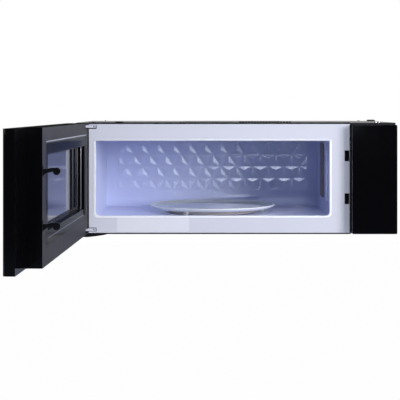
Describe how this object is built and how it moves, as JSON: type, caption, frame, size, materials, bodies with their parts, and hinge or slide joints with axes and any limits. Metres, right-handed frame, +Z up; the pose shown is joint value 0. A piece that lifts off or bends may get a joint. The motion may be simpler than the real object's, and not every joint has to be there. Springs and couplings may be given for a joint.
{
  "type": "built-in microwave oven",
  "caption": "Low-profile microwave oven hung over a cooktop, with its side-hinged door standing open, turntable, latch hooks, grease filters and exhaust outlets",
  "frame": {"origin": "centre of the wall-side face of the wall plate", "axes": "+X to the right seen from the front, +Y towards the wall, +Z up"},
  "size_m": [0.8043, 1.157, 0.275],
  "materials": {
    "black_case": "satin black powder coat, silvery where it is seen at a grazing angle",
    "base_paint": "satin dark grey paint",
    "zinc": "zinc-coated sheet, dull",
    "white_enamel": "smooth off-white paint with a soft sheen",
    "cavity_enamel": "pale blue-lavender enamel with a soft sheen",
    "mica": "pressed mica, matt",
    "fins": "bare sheet",
    "core_steel": "varnished laminations",
    "dark_part": "matt black plastic",
    "motor_paint": "painted can",
    "white_plastic": "moulded, satin",
    "tray_glass": "clear pressed glass",
    "black_gloss": "high-gloss black",
    "board": "green circuit board",
    "plunger_red": "moulded red",
    "lens": "frosted",
    "filter_mesh": "bare aluminium mesh",
    "hinge_steel": "painted like the front plate",
    "steel": "plated steel",
    "black_plastic": "satin black plastic",
    "gland_rubber": "matt",
    "door_paint": "smooth dark grey paint",
    "choke_gloss": "high-gloss dark, mirrors the white plate",
    "screen": "black perforated sheet",
    "window_glass": "clear, strongly reflecting against the dark door",
    "front_glass": "black-backed polished glass"
  },
  "bodies": {
    "case": {"outer_case": "black_case", "bay_front": "black_case", "base_pan": "base_paint", "rear_panel": "zinc", "wall_plate": "zinc", "waveguide": "zinc", "blower_housing": "zinc", "air_duct": "zinc", "turntable_motor": "zinc", "capacitor": "zinc", "front_plate": "white_enamel", "cavity_liner": "cavity_enamel", "cavity_floor": "cavity_enamel", "cavity_back": "cavity_enamel", "waveguide_cover": "mica", "magnetron": "fins", "transformer": "core_steel", "diode": "dark_part", "fan_frame": "dark_part", "interlock_switches": "dark_part", "thermal_cutout": "dark_part", "charcoal_filter": "dark_part", "blower_motor": "motor_paint", "interlock_bracket": "white_plastic", "cavity_lamp": "white_plastic", "cooktop_lamps": "white_plastic", "control_box_cover": "black_gloss", "control_board": "board", "noise_filter_board": "board", "lamp_lenses": "lens", "hinge_upper": "hinge_steel", "hinge_lower": "hinge_steel", "hinge_pins": "steel", "case_screws": "steel", "lower_hinge_cover": "black_plastic", "top_clip": "black_plastic", "cord_gland": "gland_rubber"},
    "door": {"door_inner_frame": "door_paint", "choke_cover": "choke_gloss", "window_screen": "screen", "inner_glass": "window_glass", "door_slab_frame": "black_gloss", "door_front_glass": "front_glass", "touch_board": "board", "hinge_bushes": "white_plastic", "door_screws": "steel"},
    "latch": {"latch_hooks": "black_plastic", "latch_spring": "steel"},
    "coupler": {"drive_coupler": "white_plastic"},
    "tray": {"turntable_tray": "tray_glass"},
    "ring": {"roller_ring": "white_plastic"},
    "roller_1": {"roller_1": "white_plastic"},
    "roller_2": {"roller_2": "white_plastic"},
    "roller_3": {"roller_3": "white_plastic"},
    "blower": {"blower_rotor": "dark_part"},
    "fan": {"cooling_fan": "white_plastic"},
    "plunger_upper": {"plunger_upper": "plunger_red"},
    "plunger_lower": {"plunger_lower": "plunger_red"},
    "filter_left": {"grease_filter_left": "filter_mesh"},
    "filter_right": {"grease_filter_right": "filter_mesh"}
  },
  "joints": [
    {"name": "door_hinge", "type": "hinge", "parent": "case", "child": "door", "pos_m": [-0.363, -0.419, 0], "axis": [0, 0, 1], "range_deg": [0, 92]},
    {"name": "latch_slide", "type": "slide", "parent": "door", "child": "latch", "axis": [0, 0, 1], "range_m": [0, 0.004], "stiffness_N_per_m": 300, "springref_m": -0.01},
    {"name": "turntable_spin", "type": "hinge", "parent": "case", "child": "coupler", "pos_m": [-0.055, -0.224, -0.09], "axis": [0, 0, 1], "continuous": true},
    {"name": "tray_lift", "type": "slide", "parent": "coupler", "child": "tray", "axis": [0, 0, 1], "range_m": [0, 0.06]},
    {"name": "ring_spin", "type": "hinge", "parent": "case", "child": "ring", "pos_m": [-0.055, -0.224, -0.0897], "axis": [0, 0, 1], "continuous": true},
    {"name": "roller_1_spin", "type": "hinge", "parent": "ring", "child": "roller_1", "pos_m": [0.071, -0.224, -0.0897], "axis": [1, 0, 0], "continuous": true},
    {"name": "roller_2_spin", "type": "hinge", "parent": "ring", "child": "roller_2", "pos_m": [-0.118, -0.11488, -0.0897], "axis": [-0.5, 0.866, 0], "continuous": true},
    {"name": "roller_3_spin", "type": "hinge", "parent": "ring", "child": "roller_3", "pos_m": [-0.118, -0.33312, -0.0897], "axis": [-0.5, -0.866, 0], "continuous": true},
    {"name": "blower_spin", "type": "hinge", "parent": "case", "child": "blower", "pos_m": [0.268, -0.092, -0.039], "axis": [1, 0, 0], "continuous": true},
    {"name": "fan_spin", "type": "hinge", "parent": "case", "child": "fan", "pos_m": [0.306, -0.26, 0.044], "axis": [0, 1, 0], "continuous": true},
    {"name": "plunger_upper_slide", "type": "slide", "parent": "case", "child": "plunger_upper", "axis": [0, 1, 0], "range_m": [0, 0.0015], "stiffness_N_per_m": 200, "springref_m": -0.002},
    {"name": "plunger_lower_slide", "type": "slide", "parent": "case", "child": "plunger_lower", "axis": [0, 1, 0], "range_m": [0, 0.0015], "stiffness_N_per_m": 200, "springref_m": -0.002},
    {"name": "filter_left_slide", "type": "slide", "parent": "case", "child": "filter_left", "axis": [1, 0, 0], "range_m": [0, 0.012]},
    {"name": "filter_right_slide", "type": "slide", "parent": "case", "child": "filter_right", "axis": [1, 0, 0], "range_m": [0, 0.012]}
  ],
  "couplings": [
    {"joint": "ring_spin", "follows": "turntable_spin", "ratio": 0.5},
    {"joint": "roller_1_spin", "follows": "turntable_spin", "ratio": -12.6},
    {"joint": "roller_2_spin", "follows": "turntable_spin", "ratio": -12.6},
    {"joint": "roller_3_spin", "follows": "turntable_spin", "ratio": -12.6}
  ]
}
